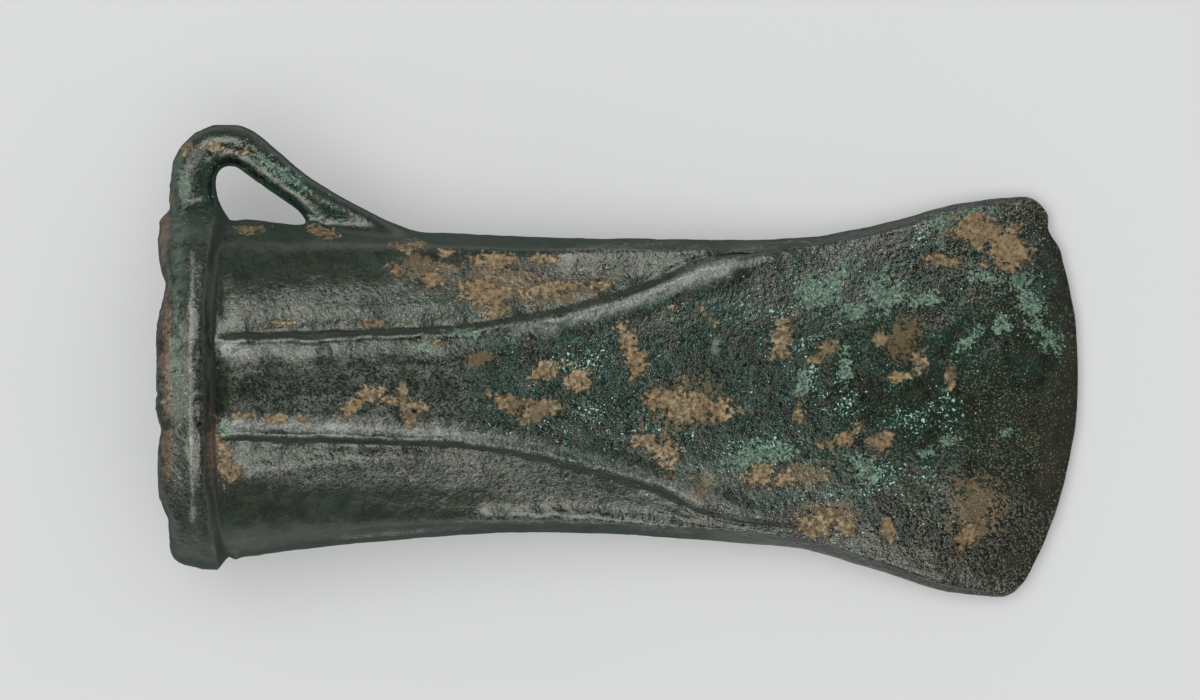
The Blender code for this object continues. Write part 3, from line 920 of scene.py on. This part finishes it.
def patina():
    """Dark green patina with brown soil, verdigris and specks, with slate-coloured painted sheen and
    highlights on the lit slopes and painted shade at the edge and corners.
    """
    n = Nodes("patinated_bronze")
    place = n.millimetres()
    broad = n.noise(place, *BROAD)
    middling = n.noise(place, *MIDDLING)
    fine = n.noise(place, *FINE)
    grit = n.noise(place, *GRIT)
    dots = n.noise(place, *DOTS)
    tangled = n.noise(place, *TANGLED)
    clotted = n.noise(place, *CLOTTED)
    clots = n.between(clotted, 0.40, 0.60)
    grains = n.plus(n.times(grit, 0.35), n.times(fine, 0.4))
    ragged = n.plus(n.off_middle(tangled, 1.9), n.off_middle(fine, 0.9))
    blade = n.mask("blade")
    shaded_corners = n.mask("shaded_corners")

    # The dark base, olive towards the edge, black as painted shade at the cutting edge, beside the
    # collar and at the blade's corners, and green on the steep sides
    colour = n.ramp(middling, *BASE_STOPS)
    greenish = n.between(n.plus(broad, n.times(fine, 0.4)), 0.62, 0.85)
    colour = n.laid(colour, BOTTLE_GREEN, greenish, 0.4)
    olive = n.times(blade, n.between(clotted, 0.36, 0.60))
    colour = n.laid(colour, OLIVE, olive, 0.7)
    colour = n.laid(colour, PAINTED_SHADE_BLACK, n.larger(n.mask("edge"), shaded_corners), 0.8)
    colour = n.laid(colour, FLANK_GREEN, n.mask("flank"), 0.6)

    # Painted sheen: pale slate on the lit slopes, paler still as painted highlight along the ribs and
    # the collar's crest
    speckle = n.between(n.plus(grains, n.times(tangled, 0.25)), 0.44, 0.60)
    pale_sheen = n.mix(n.mask("painted_highlight_band"), SHEEN_PALE, HIGHLIGHT_PALE)
    dark_sheen = n.mix(n.mask("painted_highlight_band"), SHEEN_DARK, HIGHLIGHT_DARK)
    kept_dark = n.plus(n.times(blade, 0.20), n.times(shaded_corners, 0.25))
    patchy = n.less(n.off_middle(clotted, 1.8), kept_dark)
    sheen_share = n.between(n.plus(n.mask("painted_sheen"), patchy), 0.15, 0.85)
    colour = n.laid(colour, n.mix(speckle, dark_sheen, pale_sheen), sheen_share, 0.85)

    # Teal wash with paler mottling and bright specks
    wash = n.times(n.between(n.mask("wash"), 0.05, 0.5), clots)
    colour = n.laid(colour, TEAL_DARK, wash, 0.8)
    pale = n.times(n.times(wash, n.between(tangled, 0.54, 0.64)), n.between(grit, 0.42, 0.56))
    colour = n.laid(colour, TEAL_PALE, pale, 0.8)
    clusters = n.times(n.between(n.mask("specks"), 0.1, 0.7), clots)
    gathered = n.plus(n.times(clusters, 0.13), n.times(wash, 0.02))
    large_specks = n.between(n.plus(dots, gathered), 0.74, 0.79)
    small_specks = n.between(n.plus(grit, gathered), 0.73, 0.80)
    bright = n.larger(large_specks, n.times(small_specks, 0.5))
    speck_colour = n.mix(fine, SPECK_DARK, SPECK_PALE)
    colour = n.laid(colour, speck_colour, bright, n.between(n.mask("wash"), 0.02, 0.2))

    # Dust on the blade, then verdigris
    dusty = n.times(blade, n.between(n.plus(grit, n.times(broad, 0.3)), 0.71, 0.82))
    colour = n.laid(colour, n.mix(fine, DUST_DARK, DUST_PALE), dusty, 0.55)
    green = n.between(n.plus(n.mask("verdigris"), n.times(ragged, 1.25)), 0.50, 0.72)
    colour = n.laid(colour, n.ramp(grains, *VERDIGRIS_STOPS), green, 0.9)

    # The brown rim of the mouth, and the collar's green strip made paler as painted light where it
    # faces the west softbox
    brown_rim = n.between(n.plus(n.mask("rim_brown"), n.times(ragged, 0.8)), 0.40, 0.8)
    colour = n.laid(colour, n.mix(fine, RIM_DARK, RIM_PALE), brown_rim, 0.8)
    lit_green_rim = n.times(n.mask("rim_lit_green"), n.between(tangled, 0.40, 0.58))
    colour = n.laid(colour, RIM_LIT_GREEN, lit_green_rim, 0.8)

    # Soil, as a thin film and as crusts
    thin = n.between(n.plus(n.mask("thin_soil"), ragged), 0.53, 0.80)
    colour = n.laid(colour, n.mix(fine, FILM_DARK, FILM_PALE), thin, 0.75)
    soil = n.between(n.plus(n.mask("soil"), ragged), 0.49, 0.64)
    rusty = n.between(n.plus(broad, n.times(blade, 0.12)), 0.44, 0.60)
    soil_colour = n.laid(n.ramp(fine, *SOIL_STOPS), RUST, rusty, 0.5)
    soil_share = n.blend(n.between(clotted, 0.38, 0.54), 0.50, 0.95)
    colour = n.laid(colour, soil_colour, soil, soil_share)

    # Darker in the hollows, painted glints on the crests, pits in the crusts
    colour = n.laid(colour, HOLLOW_BLACK, n.mask("hollow"), 0.7)
    crest_glints = n.times(n.mask("crest"), n.between(fine, 0.42, 0.58))
    colour = n.laid(colour, CREST_GLINT, crest_glints, 0.35)
    holes = n.between(n.noise(place, *PITS), 0.60, 0.68)
    pitted = n.times(holes, n.larger(soil, green))
    colour = n.laid(colour, PIT_BLACK, pitted, 0.75)
    n.put(n.shader.inputs["Base Color"], colour)

    crusted = n.larger(soil, n.times(green, 0.6))
    skin = n.blend(n.mask("rough"), n.blend(fine, *SMOOTH_SKIN), n.blend(fine, *ROUGH_SKIN))
    skin = n.less(skin, n.times(shaded_corners, 0.04))
    skin = n.blend(n.mask("flank"), skin, FLANK_ROUGHNESS)
    n.put(n.shader.inputs["Roughness"], n.blend(crusted, skin, CRUST_ROUGHNESS))
    n.shader.inputs["Metallic"].default_value = 0.0
    n.shader.inputs["Specular IOR Level"].default_value = SPECULAR_LEVEL
    n.shader.inputs["Specular Tint"].default_value = SPECULAR_TINT

    strength = n.plus(n.blend(n.mask("rough"), 0.3, 0.8), n.times(shaded_corners, 0.4))
    normal = n.bump(n.noise(place, *CREASES), CREASE_BUMP, strength)
    normal = n.bump(n.noise(place, *WRINKLES), WRINKLE_BUMP, strength, normal)
    normal = n.bump(speckle, SPECKLE_BUMP, strength, normal)
    normal = n.bump(soil, SOIL_BUMP, 0.8, normal)
    n.put(n.shader.inputs["Normal"], normal)
    return n.material


def floor_paper():
    n = Nodes("studio_floor")
    uneven = n.noise(n.millimetres(), *PAPER)
    n.put(n.shader.inputs["Base Color"], n.mix(uneven, FLOOR_DARK, FLOOR_PALE))
    n.shader.inputs["Roughness"].default_value = FLOOR_ROUGHNESS
    n.shader.inputs["Specular IOR Level"].default_value = FLOOR_SPECULAR
    return n.material


# Studio

PHOTO_WIDTH = 1200
PHOTO_HEIGHT = 700
MM_PER_PIXEL = 0.13617
PHOTO_MOUTH_X = 160
PHOTO_AXIS_Y = 386
VIEW_MIDDLE = (
    (PHOTO_WIDTH / 2 - PHOTO_MOUTH_X) * MM_PER_PIXEL,
    (PHOTO_AXIS_Y - PHOTO_HEIGHT / 2) * MM_PER_PIXEL,
)
CAMERA_AWAY = 1800.0
SENSOR = 36.0
NEAREST_SEEN = 0.01
FARTHEST_SEEN = 20.0
FLOOR_SIZE = 3.0
WALL_LIGHT = 0.38
CEILING_LIGHT = 0.04
WALLS_UP_TO = 0.55
CEILING_FROM = 0.95
# Lamps for the axe alone: name, place and size in metres, power in watts
AXE_LAMPS = (
    ("softbox_north", (-0.09, 0.59, 0.88), (0.84, 0.50), 7.2),
    ("softbox_south", (-0.07, -0.59, 0.88), (0.84, 0.50), 7.2),
    ("softbox_west", (-0.42, 0.0, 0.97), (0.12, 0.7), 3.2),
)
# Lamps for the floor alone: the first gives the axe's shadow, the second none
SHADOW_LAMP = ("shadow_light", (0.0, 0.0, 1.3), (1.6, 1.6), 11.0)
FILL_LAMP = ("backdrop_light", (-0.2, 0.0, 1.3), (1.6, 1.6), 12.2)
WALL_TINT = (0.98, 0.99, 1.0, 1)


def floor():
    bpy.ops.mesh.primitive_plane_add(size=FLOOR_SIZE, location=(0, 0, 0))
    sheet = bpy.context.object
    sheet.name = "studio_floor"
    sheet.data.materials.append(floor_paper())
    backdrop = bpy.data.collections.new("backdrop")
    backdrop.objects.link(sheet)
    return backdrop


def camera():
    """Looks down along the normal of the axe's cheek, as the photograph does."""
    data = bpy.data.cameras.new("camera")
    data.sensor_width = SENSOR
    data.lens = SENSOR * CAMERA_AWAY / (PHOTO_WIDTH * MM_PER_PIXEL)
    data.clip_start, data.clip_end = NEAREST_SEEN, FARTHEST_SEEN
    seen_from = bpy.data.objects.new("camera", data)
    right, up, back = Vector(ALONG), Vector(ACROSS), Vector(CHEEK_UP)
    turn = Matrix((right, up, back)).transposed().to_4x4()
    turn.translation = world_place(VIEW_MIDDLE[0], VIEW_MIDDLE[1], CAMERA_AWAY)
    seen_from.matrix_world = turn
    bpy.context.scene.collection.objects.link(seen_from)
    bpy.context.scene.camera = seen_from


def softbox(name, place, size, power, lit):
    """A rectangular lamp aimed at the axe that lights one collection."""
    data = bpy.data.lights.new(name, "AREA")
    data.shape = "RECTANGLE"
    data.size, data.size_y = size
    data.energy = power
    lamp = bpy.data.objects.new(name, data)
    lamp.location = place
    lamp.rotation_euler = (-Vector(place)).to_track_quat("-Z", "Y").to_euler()
    bpy.context.scene.collection.objects.link(lamp)
    lamp.light_linking.receiver_collection = lit
    return lamp


def sky(world):
    """Dark overhead and pale round the horizon, like the walls of a studio."""
    world.use_nodes = True
    tree = world.node_tree
    place = tree.nodes.new("ShaderNodeTexCoord")
    parts = tree.nodes.new("ShaderNodeSeparateXYZ")
    height = tree.nodes.new("ShaderNodeMapRange")
    height.interpolation_type = "SMOOTHSTEP"
    height.inputs["From Min"].default_value = WALLS_UP_TO
    height.inputs["From Max"].default_value = CEILING_FROM
    height.inputs["To Min"].default_value = WALL_LIGHT
    height.inputs["To Max"].default_value = CEILING_LIGHT
    tree.links.new(place.outputs["Generated"], parts.inputs[0])
    tree.links.new(parts.outputs["Z"], height.inputs["Value"])
    background = tree.nodes["Background"]
    background.inputs["Color"].default_value = WALL_TINT
    tree.links.new(height.outputs["Result"], background.inputs["Strength"])


def lights(backdrop, casting):
    """Two softboxes beside the axe, a weak one past its mouth, and two lamps for the floor alone."""
    for name, place, size, power in AXE_LAMPS:
        softbox(name, place, size, power, casting)
    softbox(*SHADOW_LAMP, backdrop)
    overhead = softbox(*FILL_LAMP, backdrop)
    overhead.light_linking.blocker_collection = backdrop
    world = bpy.data.worlds.new("studio")
    sky(world)
    bpy.context.scene.world = world
    bpy.context.scene.view_settings.view_transform = "Standard"


axe = bronze_casting()
axe.data.materials.clear()
axe.data.materials.append(patina())
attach(axe, "root")
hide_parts(NODE)
camera()
casting = bpy.data.collections.new("casting")
casting.objects.link(axe)
lights(floor(), casting)
